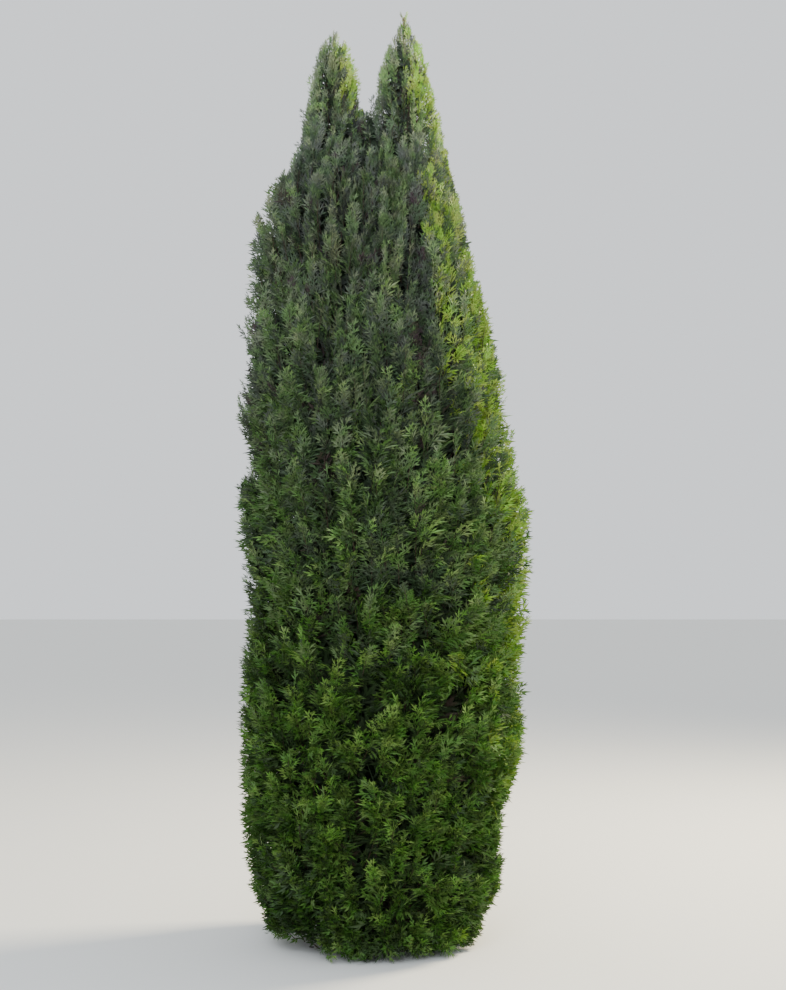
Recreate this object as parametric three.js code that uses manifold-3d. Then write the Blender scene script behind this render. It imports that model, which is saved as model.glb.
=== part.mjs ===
// A columnar arborvitae with two tops, in millimetres, +Z up.
// The origin is the middle of the flat cut under the trunk, at ground level. +X is to the right of the
// side that shows both tops, and +Y points away from that side.
// The trunk runs whole from the ground to the right-hand top. A second leader and two boughs leave it.
// Round them stand the masses of foliage. Each is one solid: a stem, forks that branch from it by a
// seeded rule, a dense core, and flat toothed sprays that stand out of the core.

import * as THREE from "three";
import { mergeVertices } from "three/addons/utils/BufferGeometryUtils.js";
import Module from "manifold-3d";

const wasm = await Module();
wasm.setup();

// Driving dimensions
const clearance = 0.3; // gap between any two solids that meet
const seamTolerance = 0.1; // corners closer than this are one corner
const groundGap = 4; // foliage stays this far above the ground

// How far the crown reaches to the left and right of the trunk's foot, going up.
const crownOutline = [
  { height: 0, left: 545, right: 490 },
  { height: 140, left: 560, right: 530 },
  { height: 260, left: 612, right: 597 },
  { height: 600, left: 675, right: 615 },
  { height: 930, left: 670, right: 722 },
  { height: 1300, left: 685, right: 712 },
  { height: 1500, left: 655, right: 742 },
  { height: 1750, left: 670, right: 765 },
  { height: 2100, left: 712, right: 768 },
  { height: 2200, left: 700, right: 748 },
  { height: 2280, left: 678, right: 700 },
  { height: 2360, left: 658, right: 690 },
  { height: 2480, left: 722, right: 680 },
  { height: 2750, left: 697, right: 640 },
  { height: 2950, left: 685, right: 592 },
  { height: 3150, left: 665, right: 548 },
  { height: 3300, left: 680, right: 485 },
  { height: 3450, left: 640, right: 465 },
  { height: 3600, left: 612, right: 432 },
  { height: 3720, left: 555, right: 400 },
  { height: 3800, left: 490, right: 380 },
  { height: 3900, left: 430, right: 350 },
];
// Its reach to the front and back, as a share of the mean of left and right. It shrinks between two
// heights, so that the crown narrows to the two tops, which stand side by side.
const frontShare = { below: 0.97, above: 0.6, from: 2400, to: 3900, power: 1.3 };

// The two tops that stand above the crown.
const tops = [
  { name: "top_right", x: 130, height: 4690, baseRadius: 262, power: 0.64 },
  { name: "top_left", x: -230, height: 4600, baseRadius: 202, power: 0.42 },
];
const topBase = 3700; // height at which a top has its base radius
const topTipRadius = 58; // the last sprays stand this close round the leader's tip
const topSectors = 3;
const topFoot = 3480; // the lowest that a top's foliage may start

// Storeys of foliage, by their heights at the crown's surface, and the columns that cut them up.
const storeys = [
  { name: "skirt", bottom: 0, top: 720 },
  { name: "lower", bottom: 720, top: 1500 },
  { name: "middle", bottom: 1500, top: 2300 },
  { name: "upper", bottom: 2300, top: 3080 },
  { name: "shoulder", bottom: 3080, top: 3800 },
];
const storeyRise = 360; // how far the surface between two storeys climbs from the trunk to the outside
const columns = [
  { name: "right", start: -37.5, shift: -110 },
  { name: "back_right", start: 22.5, shift: 95 },
  { name: "back_left", start: 82.5, shift: -60 },
  { name: "left", start: 142.5, shift: 120 },
  { name: "front_left", start: 202.5, shift: -105 },
  { name: "front_right", start: 262.5, shift: 80 },
];
const crest = { middle: 80, swing: 55 }; // the last storey ends higher on the left than on the right
const wander = { angle: 5, pitch: 430 }; // how far the edges of the columns swing as they go up

// How a mass grows: its forks, the sprays along each, the levels between which they are rooted, their
// size, how far they stand off the crown's surface in degrees, and how far they lean to the sides.
const crownGrowth = {
  forks: 4,
  sprays: 4,
  rows: [-0.92, 0.78],
  length: 310,
  width: 180,
  thickness: 9,
  stand: 22,
  spread: 0.9,
};
const topGrowth = {
  forks: 4,
  sprays: 7,
  rows: [-0.72, 0.9],
  length: 210,
  width: 84,
  thickness: 7,
  stand: 12,
  spread: 0.35,
};
const leastShare = 0.4; // the smallest a spray may be, as a share of its full size
const spaceMargin = 7; // sprays keep this far inside their mass's space

// Cores, as shares of a mass's own space: from inner to outer depth, to each side, and up and down.
const crownCore = { inner: 0.42, outer: 0.85, side: 0.985, height: 0.98 };
const topCore = { inner: 0.2, outer: 0.79, side: 0.95, height: 0.84 };
const coreRoundness = 14; // a higher power makes a core's edges squarer
const coreMargin = 30; // a top's core stays this far off its neighbours
const rootSink = 0.04; // sprays are rooted this share of the reach under the core's surface

const slopeStep = 80; // the surface's slope is read this far above and below a point

const stemRadius = { foot: 14, tip: 9 };
const stemDrop = { least: 100, step: 55, lowest: 170 }; // a stem leaves its limb below its mass's heart
const stemSag = 15;
const shootRadius = 7;

const bark = { color: 0x6f5844, roughness: 0.95 };
const foliage = { color: 0x4a6430, roughness: 0.8 };

const up = new THREE.Vector3(0, 0, 1);
const degrees = THREE.MathUtils.degToRad;

// A repeatable stream of numbers between 0 and 1.
function seeded(seed) {
  let state = seed;
  return () => {
    state = (state * 16807) % 2147483647;
    return state / 2147483647;
  };
}

// Solids
function toSolid(geometry) {
  geometry.deleteAttribute("normal");
  geometry.deleteAttribute("uv");
  const merged = mergeVertices(geometry, 1e-3);
  return new wasm.Manifold(
    new wasm.Mesh({
      numProp: 3,
      vertProperties: new Float32Array(merged.attributes.position.array),
      triVerts: new Uint32Array(merged.index.array),
    }),
  );
}

function toMesh(name, solid, look) {
  const { vertProperties, triVerts } = solid.getMesh();
  const geometry = new THREE.BufferGeometry();
  geometry.setAttribute("position", new THREE.BufferAttribute(vertProperties, 3));
  geometry.setIndex(new THREE.BufferAttribute(triVerts, 1));
  geometry.computeVertexNormals();
  const mesh = new THREE.Mesh(geometry, new THREE.MeshStandardMaterial({ ...look, metalness: 0 }));
  mesh.name = name;
  return mesh;
}

// The biggest body of a solid, without the scraps that cutting leaves.
function largestBody(solid) {
  return solid.decompose().reduce((big, body) => (body.volume() > big.volume() ? body : big));
}

// A tapering limb: a cylinder whose rings are carried along a curve, its tip moved on by a margin.
function limbSolid(curve, radiusAt, sides, steps, margin = 0) {
  const geometry = new THREE.CylinderGeometry(1, 1, 1, sides, steps);
  const frames = curve.computeFrenetFrames(steps, false);
  const places = geometry.attributes.position;
  for (let i = 0; i < places.count; i++) {
    const step = Math.round((places.getY(i) + 0.5) * steps);
    const along = step / steps;
    const point = curve.getPointAt(along);
    if (step === steps) point.addScaledVector(frames.tangents[step], margin);
    const radius = radiusAt(along, point.z, Math.atan2(places.getZ(i), places.getX(i)));
    const place = point
      .addScaledVector(frames.normals[step], places.getX(i) * radius)
      .addScaledVector(frames.binormals[step], -places.getZ(i) * radius);
    places.setXYZ(i, place.x, place.y, step === 0 && place.z < 1 ? 0 : place.z);
  }
  return toSolid(geometry);
}

// Limbs. Each has a path, radii at its two ends, and what it leaves from.
const limbs = {
  trunk: {
    path: [
      [0, 0, 0],
      [0, 0, 180],
      [10, 2, 600],
      [48, 8, 1300],
      [86, 6, 2400],
      [122, 0, 3600],
      [130, 0, 4660],
    ],
    foot: 68,
    tip: 4,
    flare: { radius: 44, height: 95, ribs: 5, depth: 0.16 },
    sides: 12,
    steps: 20,
  },
  leader_left: {
    path: [
      [8, 2, 470],
      [-60, -2, 720],
      [-142, -6, 1300],
      [-196, 4, 2500],
      [-220, 6, 3700],
      [-230, 0, 4565],
    ],
    foot: 47,
    tip: 4,
    sides: 8,
    steps: 16,
  },
  bough_left: {
    path: [
      [-120, -5, 1120],
      [-215, 12, 1600],
      [-272, 22, 2250],
      [-315, 10, 2760],
    ],
    foot: 27,
    tip: 13,
    sides: 8,
    steps: 10,
  },
  bough_right: {
    path: [
      [52, 8, 1330],
      [150, 22, 1800],
      [212, 26, 2350],
      [262, 10, 2780],
    ],
    foot: 25,
    tip: 12,
    sides: 8,
    steps: 10,
  },
};

function limbCurve(limb) {
  return new THREE.CatmullRomCurve3(limb.path.map((point) => new THREE.Vector3(...point)));
}

function limbRadius(limb, along, height, angle, grow) {
  const taper = limb.tip + (limb.foot - limb.tip) * Math.pow(1 - along, 0.85);
  if (!limb.flare) return taper + grow;
  const near = Math.exp(-height / limb.flare.height);
  const ribs = 1 + limb.flare.depth * near * Math.cos(limb.flare.ribs * angle);
  return (taper + limb.flare.radius * near) * ribs + grow;
}

function growLimb(limb, grow = 0) {
  const radiusAt = (along, height, angle) => limbRadius(limb, along, height, angle, grow);
  return limbSolid(limbCurve(limb), radiusAt, limb.sides, limb.steps, grow);
}

// Points along each limb's axis with its radius there, to keep sprays off it and to seat stems on it.
const limbPoints = Object.values(limbs).flatMap((limb) => {
  const curve = limbCurve(limb);
  return Array.from({ length: 61 }, (_, i) => {
    const point = curve.getPointAt(i / 60);
    return { point, radius: limbRadius(limb, i / 60, point.z, 0, 0) };
  });
});

// The crown's reach from the trunk's foot, at a height, in the direction theta.
function crownReach(theta, height) {
  const next = crownOutline.findIndex((row) => row.height >= height);
  const last = crownOutline.length - 1;
  const upper = crownOutline[next < 0 ? last : Math.max(next, 1)];
  const lower = crownOutline[(next < 0 ? last : Math.max(next, 1)) - 1];
  const share = THREE.MathUtils.clamp((height - lower.height) / (upper.height - lower.height), 0, 1);
  const left = lower.left + (upper.left - lower.left) * share;
  const right = lower.right + (upper.right - lower.right) * share;
  const side = (left + right) / 2 + ((right - left) / 2) * Math.cos(theta);
  const climb = THREE.MathUtils.clamp((height - frontShare.from) / (frontShare.to - frontShare.from), 0, 1);
  const front = frontShare.below + (frontShare.above - frontShare.below) * Math.pow(climb, frontShare.power);
  return side * (1 - (1 - front) * Math.sin(theta) ** 2);
}

function topReach(top, height) {
  const left = THREE.MathUtils.clamp((top.height - height) / (top.height - topBase), 0, 1.3);
  return Math.max(top.baseRadius * Math.pow(left, top.power), topTipRadius);
}

// The direction of the edge where a column starts, at a height.
function columnEdge(index, height) {
  const edge = columns[index % columns.length];
  const swing = wander.angle * Math.sin(height / wander.pitch + edge.start);
  return degrees(edge.start + (index === columns.length ? 360 : 0) + swing);
}

// How far up, in a direction, the line at the foot or the top of a column's storey lies.
function columnLine(column, height) {
  if (height === storeys[0].bottom) return () => -storeyRise;
  if (height === storeys[storeys.length - 1].top) return crestLine;
  return () => height + column.shift;
}

function crestLine(theta) {
  return storeys[storeys.length - 1].top + crest.middle - crest.swing * Math.cos(theta);
}

// Spaces. Each mass keeps to a piece of one column between two sloping surfaces.
function crownSpaces() {
  return storeys.flatMap((storey) =>
    columns.map((column, i) => ({
      name: `${storey.name}_${column.name}`,
      axis: 0,
      edges: (height) => [columnEdge(i, height), columnEdge(i + 1, height)],
      reach: crownReach,
      rise: storeyRise,
      bottom: columnLine(column, storey.bottom),
      top: columnLine(column, storey.top),
      growth: crownGrowth,
      core: crownCore,
    })),
  );
}

// The masses round each top. They start at the sloping surface that closes the crown.
function topSpaces() {
  const half = Math.PI / topSectors;
  const names = { top_right: ["right", "back", "front"], top_left: ["left", "front", "back"] };
  return tops.flatMap((top) =>
    Array.from({ length: topSectors }, (_, i) => {
      const middle = (top.x > 0 ? 0 : Math.PI) + 2 * half * i;
      return {
        name: `${top.name}_${names[top.name][i]}`,
        axis: top.x,
        edges: () => [middle - half, middle + half],
        reach: (_, height) => topReach(top, height),
        rise: 0,
        side: Math.sign(top.x),
        bottom: () => topFoot,
        top: () => top.height,
        growth: topGrowth,
        core: topCore,
      };
    }),
  );
}

const topsDivide = (tops[0].x + tops[1].x) / 2; // the plane between the two tops

// Whether a point lies in a mass's space with a margin to spare.
function insideSpace(space, point, margin) {
  const dx = point.x - space.axis;
  const radius = Math.hypot(dx, point.y);
  const theta = Math.atan2(point.y, dx);
  const reach = space.reach(theta, point.z);
  if (radius > reach || point.z < groundGap) return false;
  const [start, end] = space.edges(point.z);
  const off = theta - (start + end) / 2;
  const turn = Math.abs(Math.atan2(Math.sin(off), Math.cos(off)));
  if (Math.sin(Math.max((end - start) / 2 - turn, 0)) * radius < margin) return false;
  const level = point.z + space.rise * (1 - radius / reach);
  if (level < space.bottom(theta) + margin || level > space.top(theta) - margin) return false;
  if (!space.side) return true;
  return (point.x - topsDivide) * space.side > margin && point.z > crownTopAt(point) + margin;
}

// The height, over a point, of the sloping surface that closes the crown.
function crownTopAt(point) {
  const theta = Math.atan2(point.y, point.x);
  const line = crestLine(theta);
  return line - storeyRise * (1 - Math.hypot(point.x, point.y) / crownReach(theta, line - storeyRise / 3));
}

// A top's point, moved to its own side of the gap between the tops and up over the crown.
function clearOfNeighbours(space, point, margin) {
  if (!space.side) return point;
  if ((point.x - topsDivide) * space.side < margin) point.x = topsDivide + margin * space.side;
  point.z = Math.max(point.z, crownTopAt(point) + margin);
  return point;
}

// The point of a space at across and level from -1 to 1 and depth from 0 at its axis to 1 at its surface.
function pointInSpace(space, across, level, depth) {
  const fall = space.rise * (1 - depth);
  let height = space.bottom(0);
  let theta = 0;
  for (let pass = 0; pass < 3; pass++) {
    const [start, end] = space.edges(height);
    theta = (start + end) / 2 + (across * (end - start)) / 2;
    const low = Math.max(space.bottom(theta), groundGap + fall);
    height = low + ((level + 1) / 2) * (space.top(theta) - low) - fall;
  }
  const radius = space.reach(theta, height) * depth;
  return new THREE.Vector3(space.axis + radius * Math.cos(theta), radius * Math.sin(theta), height);
}

// How far a core bulges towards a face, at a place given by its two other shares.
function roundOff(x, y, z) {
  const power = coreRoundness;
  return Math.pow(Math.abs(x) ** power + Math.abs(y) ** power + Math.abs(z) ** power, 1 / power);
}

// Core: a block with rounded edges that fills the middle of the space.
function coreSolid({ core, ...space }) {
  const geometry = new THREE.BoxGeometry(2, 2, 2, 1, 3, 3);
  const places = geometry.attributes.position;
  for (let i = 0; i < places.count; i++) {
    const block = new THREE.Vector3().fromBufferAttribute(places, i);
    block.divideScalar(roundOff(block.x, block.y, block.z));
    const depth = (core.inner + core.outer) / 2 + (block.x * (core.outer - core.inner)) / 2;
    const place = pointInSpace(space, block.y * core.side, block.z * core.height, depth);
    clearOfNeighbours(space, place, coreMargin);
    places.setXYZ(i, place.x, place.y, place.z);
  }
  return toSolid(geometry);
}

// A point just under the core's outer face.
function pointUnderCore(space, across, level) {
  const { inner, outer, side, height } = space.core;
  const rest = 1 - Math.abs(across / side) ** coreRoundness - Math.abs(level / height) ** coreRoundness;
  const bulge = Math.pow(Math.max(rest, 0), 1 / coreRoundness);
  const depth = (inner + outer) / 2 + ((outer - inner) / 2) * bulge - rootSink;
  return pointInSpace(space, across, level, depth);
}

// Spray: a fan with three teeth, flat behind and raised along its middle in front.
const sprayRim = [
  [0, 0],
  [0.5, 0.66],
  [0.2, 0.74],
  [0, 1],
  [-0.22, 0.7],
  [-0.5, 0.6],
];
const sprayHeart = 0.6; // how far along a spray it is thickest

function sprayPoints({ root, along, facing, length, width, thickness }) {
  const across = new THREE.Vector3().crossVectors(along, facing).normalize();
  const normal = new THREE.Vector3().crossVectors(across, along).normalize();
  const at = (x, y, z) =>
    root
      .clone()
      .addScaledVector(across, x * width)
      .addScaledVector(along, y * length)
      .addScaledVector(normal, z);
  return [...sprayRim.map(([x, y]) => at(x, y, 0)), at(0, sprayHeart, thickness)];
}

// A point in the thick of a spray.
function sprayInside(spray) {
  const points = sprayPoints(spray);
  const peak = points[points.length - 1];
  return points[0].lerp(points[3], 0.33).lerp(peak, 0.4);
}

function spraySolid(spray) {
  const count = sprayRim.length;
  const front = sprayRim.flatMap((_, i) => [i, (i + 1) % count, count]);
  const back = [1, 0, 5, 2, 1, 5, 4, 2, 5, 4, 3, 2];
  return new wasm.Manifold(
    new wasm.Mesh({
      numProp: 3,
      vertProperties: new Float32Array(sprayPoints(spray).flatMap((point) => point.toArray())),
      triVerts: new Uint32Array([...front, ...back]),
    }),
  );
}

// A spray is as long as its space allows, up to its full length, and is skipped if it would stay short.
function growSpray(space, root, along, facing, random) {
  const { length, width, thickness } = space.growth;
  const full = length * (0.85 + 0.4 * random());
  if (!insideSpace(space, root, spaceMargin)) return null;
  for (let share = 1; share >= leastShare; share -= 0.05) {
    const spray = { root, along, facing, length: full * share, width: width * share, thickness };
    const ends = sprayPoints(spray).slice(1);
    if (ends.every((end) => insideSpace(space, end, spaceMargin) && clearOfLimbs(end))) return spray;
  }
  return null;
}

function clearOfLimbs(point) {
  return limbPoints.every((limb) => limb.point.distanceTo(point) > limb.radius + 12);
}

// The limb that a mass hangs on: the nearest one at some way below its heart.
function nearestLimb(point) {
  return limbPoints.reduce((near, limb) =>
    limb.point.distanceTo(point) < near.point.distanceTo(point) ? limb : near,
  );
}

// How steeply the crown's surface climbs beside a point: more than a right angle where it narrows.
function surfaceSlope(space, point) {
  const theta = Math.atan2(point.y, point.x - space.axis);
  const wider = space.reach(theta, point.z + slopeStep) - space.reach(theta, point.z - slopeStep);
  return Math.atan2(2 * slopeStep, wider);
}

// The growth rule: one stem to the heart of the mass, forks that fan out from it and rise under the
// core's face, sprays along each fork by turns to the left and right, and a leading shoot at its end.
function growMass(space, index) {
  const random = seeded(4001 + 97 * index);
  const jitter = (size) => (random() * 2 - 1) * size;
  const heart = pointInSpace(space, 0, -0.3, (space.core.inner + space.core.outer) / 2);
  const drop = stemDrop.least + stemDrop.step * (index % 3);
  const below = new THREE.Vector3(heart.x, heart.y, Math.max(heart.z - drop, stemDrop.lowest));
  const seat = nearestLimb(below).point;
  const stem = [seat, seat.clone().lerp(heart, 0.5).addScaledVector(up, -stemSag), heart];
  const { forks, sprays: perFork, rows, stand, spread } = space.growth;
  const sprays = [];
  const shoots = [];
  for (let i = 0; i < forks; i++) {
    const across = ((i + 0.5) / forks) * 1.7 - 0.85 + jitter(0.04);
    const count = perFork - (i % 2); // neighbouring forks are staggered, with one spray fewer
    for (let j = 0; j < count; j++) {
      const level = rows[0] + ((j + 0.5 + jitter(0.2)) / count) * (rows[1] - rows[0]);
      const root = pointUnderCore(space, across + jitter(0.04), level);
      const outward = new THREE.Vector3(root.x - space.axis, root.y, 0).normalize();
      const sideways = new THREE.Vector3().crossVectors(up, outward);
      const slope = surfaceSlope(space, root) - degrees(stand + jitter(9));
      const lean = spread * ((j % 2 ? 0.2 : -0.2) + jitter(0.12));
      const along = outward
        .clone()
        .multiplyScalar(Math.cos(slope))
        .addScaledVector(up, Math.sin(slope))
        .addScaledVector(sideways, lean)
        .normalize();
      const facing = outward.clone().addScaledVector(sideways, jitter(0.45)).normalize();
      const spray = growSpray(space, root, along, facing, random);
      if (!spray) continue;
      sprays.push(spray);
      if (j < count - 1 || i % 2) continue;
      shoots.push({ from: heart.clone().lerp(root, 0.8), to: sprayInside(spray) });
    }
  }
  return { stem, shoots, sprays };
}

function shootSolid({ from, to }) {
  const geometry = new THREE.ConeGeometry(shootRadius, from.distanceTo(to), 3);
  const middle = from.clone().lerp(to, 0.5);
  const aim = to.clone().sub(from).normalize();
  const turn = new THREE.Quaternion().setFromUnitVectors(new THREE.Vector3(0, 1, 0), aim);
  geometry.applyQuaternion(turn).translate(middle.x, middle.y, middle.z);
  return toSolid(geometry);
}

function stemSolid(points) {
  const curve = new THREE.CatmullRomCurve3(points);
  return limbSolid(curve, (along) => stemRadius.foot + (stemRadius.tip - stemRadius.foot) * along, 3, 2);
}

function massSolid(space, index, cutter) {
  const { stem, shoots, sprays } = growMass(space, index);
  const pieces = [coreSolid(space), stemSolid(stem), ...shoots.map(shootSolid), ...sprays.map(spraySolid)];
  const joined = wasm.Manifold.union(pieces).subtract(cutter);
  return largestBody(joined.simplify(seamTolerance));
}

// The tree
function buildTree() {
  const tree = new THREE.Group();
  tree.name = "arborvitae";
  const cutters = [];
  for (const [name, limb] of Object.entries(limbs)) {
    let solid = growLimb(limb);
    if (cutters.length) solid = largestBody(solid.subtract(wasm.Manifold.union(cutters)));
    tree.add(toMesh(name, solid, bark));
    cutters.push(growLimb(limb, clearance));
  }
  const cutter = wasm.Manifold.union(cutters);
  [...crownSpaces(), ...topSpaces()].forEach((space, index) => {
    tree.add(toMesh(space.name, massSolid(space, index, cutter), foliage));
  });
  return tree;
}

export default buildTree();
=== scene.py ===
import math
import bpy
import numpy as np
from mathutils import Matrix, Vector, noise


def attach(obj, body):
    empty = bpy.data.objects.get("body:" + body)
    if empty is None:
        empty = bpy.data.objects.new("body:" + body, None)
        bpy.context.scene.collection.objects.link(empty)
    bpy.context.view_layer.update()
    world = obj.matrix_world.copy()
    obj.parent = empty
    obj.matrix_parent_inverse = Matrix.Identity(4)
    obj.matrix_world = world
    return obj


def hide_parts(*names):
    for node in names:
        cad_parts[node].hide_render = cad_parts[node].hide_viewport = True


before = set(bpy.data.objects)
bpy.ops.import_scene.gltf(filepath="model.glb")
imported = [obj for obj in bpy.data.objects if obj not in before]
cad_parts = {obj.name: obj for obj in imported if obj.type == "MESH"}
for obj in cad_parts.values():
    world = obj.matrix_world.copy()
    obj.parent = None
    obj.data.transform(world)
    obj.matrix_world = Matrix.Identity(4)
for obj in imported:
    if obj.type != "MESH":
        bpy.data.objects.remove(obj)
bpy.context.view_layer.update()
upward = Vector((0, 0, 1))


# Small helpers
def toLinear(hexColour):
    channels = [int(hexColour[i:i + 2], 16) / 255 for i in (1, 3, 5)]
    return tuple(c / 12.92 if c <= 0.04045 else ((c + 0.055) / 1.055) ** 2.4 for c in channels) + (1.0,)


def addNode(tree, kind, values=None):
    # values are for the node's own settings or its inputs, by name or number; one that is a socket, or
    # a node, which stands for its first output, is linked
    node = tree.nodes.new(kind)
    for key, value in (values or {}).items():
        if isinstance(value, bpy.types.Node):
            value = value.outputs[0]
        if isinstance(value, bpy.types.NodeSocket):
            tree.links.new(value, node.inputs[key])
        elif isinstance(key, str) and hasattr(node, key):
            setattr(node, key, value)
        else:
            node.inputs[key].default_value = value
    return node


def seeded(seed):
    # a repeatable stream of numbers between 0 and 1, the same one that grew the solids
    state = seed
    while True:
        state = state * 16807 % 2147483647
        yield state / 2147483647


def jitter(dice, size):
    return (next(dice) * 2 - 1) * size


def mixed(a, b, share):
    return a + (b - a) * share


def clamped(value, low=0, high=1):
    return min(max(value, low), high)


def outwardOf(point, axis=0):
    return Vector((point.x - axis, point.y, 0)).normalized()


def newObject(name, data):
    piece = bpy.data.objects.new(name, data)
    bpy.context.scene.collection.objects.link(piece)
    return piece


def meshFrom(name, points, faces, edges=()):
    mesh = bpy.data.meshes.new(name)
    mesh.from_pydata([tuple(p) for p in points], list(edges), list(faces))
    mesh.update()
    return mesh


def triangleCount(mesh):
    return sum(len(face.vertices) - 2 for face in mesh.polygons)


def newMaterial(name, roughness):
    material = bpy.data.materials.new(name)
    material.use_nodes = True
    shader = material.node_tree.nodes["Principled BSDF"]
    shader.inputs["Roughness"].default_value = roughness
    shader.inputs["IOR"].default_value = 1.45  # typical of leaf wax, wood and paint
    return material, material.node_tree, shader


# Camera: eye height 1.6 m, 7 m from the trunk, looking slightly up
cameraView = {"place": (0.073, -7.0, 1.6), "pitch": 4.78, "focalPixels": 1400, "longSide": 990}
cameraData = bpy.data.cameras.new("camera")
cameraData.sensor_width = 36
cameraData.lens = cameraView["focalPixels"] / cameraView["longSide"] * cameraData.sensor_width
camera = newObject("camera", cameraData)
camera.location = cameraView["place"]
camera.rotation_euler = (math.radians(90 + cameraView["pitch"]), 0, 0)
bpy.context.scene.camera = camera
print("camera placed")

# Limbs: the same paths and radii as the solids, in metres, with the bark's relief
limbs = {
    "trunk": {
        "path": [
            (0, 0, 0), (0, 0, 0.18), (0.01, 0.002, 0.6), (0.048, 0.008, 1.3), (0.086, 0.006, 2.4),
            (0.122, 0, 3.6), (0.13, 0, 4.66),
        ],
        "foot": 0.068, "tip": 0.004,
        "flare": {"radius": 0.044, "height": 0.095, "ribs": 5, "depth": 0.16},
    },
    "leader_left": {
        "path": [
            (0.008, 0.002, 0.47), (-0.06, -0.002, 0.72), (-0.142, -0.006, 1.3), (-0.196, 0.004, 2.5),
            (-0.22, 0.006, 3.7), (-0.23, 0, 4.565),
        ],
        "foot": 0.047, "tip": 0.004,
    },
    "bough_left": {
        "path": [(-0.12, -0.005, 1.12), (-0.215, 0.012, 1.6), (-0.272, 0.022, 2.25), (-0.315, 0.01, 2.76)],
        "foot": 0.027, "tip": 0.013,
    },
    "bough_right": {
        "path": [(0.052, 0.008, 1.33), (0.15, 0.022, 1.8), (0.212, 0.026, 2.35), (0.262, 0.01, 2.78)],
        "foot": 0.025, "tip": 0.012,
    },
}
bark = {
    "ringStep": 0.018, "leastRings": 12, "curveSteps": 400, "taperPower": 0.85,
    "sides": 44, "halfSidesBelow": 0.04,  # thinner limbs have half as many sides
    "plateDepth": 0.0035, "fullDepthAt": 0.05, "platesAround": 13, "plateLength": 0.16,
    "wander": [(0.9, 9, 1), (0.5, 23, -2)],  # of the strips: size, change going up, change going round
    "breaks": [(2.3, 2), (1.7, 3)],  # where the strips break: size, change going round
    "stripPower": 0.45, "breakPower": 0.3, "unbroken": 0.45,
    "fibre": 0.12, "fibresAround": 41, "fibreTwist": 3, "fibreWave": 14,
    "roughness": 0.93, "bump": 0.6, "bumpDepth": 0.002,
    "colours": [(0.3, "#3d2a20"), (0.72, "#8b7460")],  # from the furrows to the strips
    "fibres": (160, 160, 11),  # per metre: fibres 6 mm wide and about 90 mm long
    "fibreDetail": 6.0, "fibreRoughness": 0.6,
}


def curvePoint(path, share):
    # centripetal curve through the path's points, share from 0 to 1 along its parameter
    points = [Vector(p) for p in path]
    last = len(points) - 1
    place = min(share * last, last - 1e-9)
    i = int(place)
    t = place - i
    p1, p2 = points[i], points[i + 1]
    p0 = points[i - 1] if i > 0 else p1 * 2 - p2
    p3 = points[i + 2] if i + 2 <= last else p2 * 2 - p1
    d0, d1, d2 = ((b - a).length ** 0.5 for a, b in ((p0, p1), (p1, p2), (p2, p3)))
    m1 = ((p1 - p0) / d0 - (p2 - p0) / (d0 + d1) + (p2 - p1) / d1) * d1
    m2 = ((p2 - p1) / d1 - (p3 - p1) / (d1 + d2) + (p3 - p2) / d2) * d1
    c2 = (p2 - p1) * 3 - m1 * 2 - m2
    c3 = (p1 - p2) * 2 + m1 + m2
    return p1 + m1 * t + c2 * t * t + c3 * t * t * t


def evenPoints(path, count):
    # points at even steps along the curve, and the curve's length
    steps = bark["curveSteps"]
    fine = [curvePoint(path, i / steps) for i in range(steps + 1)]
    lengths = np.concatenate([[0], np.cumsum([(b - a).length for a, b in zip(fine, fine[1:])])])
    shares = np.interp(np.linspace(0, lengths[-1], count), lengths, np.linspace(0, 1, steps + 1))
    return [curvePoint(path, s) for s in shares], lengths[-1]


def limbRadius(limb, along, height, angle):
    radius = mixed(limb["tip"], limb["foot"], (1 - along) ** bark["taperPower"])
    flare = limb.get("flare")
    if flare:
        near = math.exp(-height / flare["height"])
        ribs = 1 + flare["depth"] * near * math.cos(flare["ribs"] * angle)
        radius = (radius + flare["radius"] * near) * ribs
    return radius


def barkRelief(angle, height, radius):
    # long flat strips of bark that wander and break, between narrow furrows
    around = angle * bark["platesAround"] / 2
    around += sum(size * math.sin(height * up + turns * angle) for size, up, turns in bark["wander"])
    strip = abs(math.sin(around)) ** bark["stripPower"]
    wave = sum(size * math.sin(turns * angle) for size, turns in bark["breaks"])
    breaks = abs(math.sin(height / bark["plateLength"] * math.pi + wave)) ** bark["breakPower"]
    twist = bark["fibreTwist"] * math.sin(height * bark["fibreWave"])
    fibre = bark["fibre"] * math.sin(angle * bark["fibresAround"] + twist)
    depth = bark["plateDepth"] * min(1, radius / bark["fullDepthAt"])
    return depth * (strip * mixed(bark["unbroken"], 1, breaks) + fibre - 1)


def barkMesh(name, limb):
    _, length = evenPoints(limb["path"], 2)
    rings = max(int(length / bark["ringStep"]), bark["leastRings"])
    middle, _ = evenPoints(limb["path"], rings + 1)
    sides = bark["sides"] // (1 if limb["foot"] > bark["halfSidesBelow"] else 2)
    points, faces = [], []
    across = Vector((1, 0, 0))
    for k, centre in enumerate(middle):
        ahead = middle[min(k + 1, rings)] - middle[max(k - 1, 0)]
        aim = upward if k == 0 and "flare" in limb else ahead.normalized()
        across = (across - aim * across.dot(aim)).normalized()
        beyond = aim.cross(across)
        for j in range(sides):
            angle = 2 * math.pi * j / sides
            radius = limbRadius(limb, k / rings, centre.z, angle)
            radius += barkRelief(angle, centre.z, radius)
            aside = beyond * (math.sin(angle) * radius)
            points.append(centre + across * (math.cos(angle) * radius) + aside)
    for k in range(rings):
        for j in range(sides):
            a, b = k * sides + j, k * sides + (j + 1) % sides
            faces.append((a, b, b + sides, a + sides))
    faces.append(tuple(reversed(range(sides))))
    faces.append(tuple(range(rings * sides, (rings + 1) * sides)))
    mesh = meshFrom(name, points, faces)
    mesh.shade_smooth()
    return mesh


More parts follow.
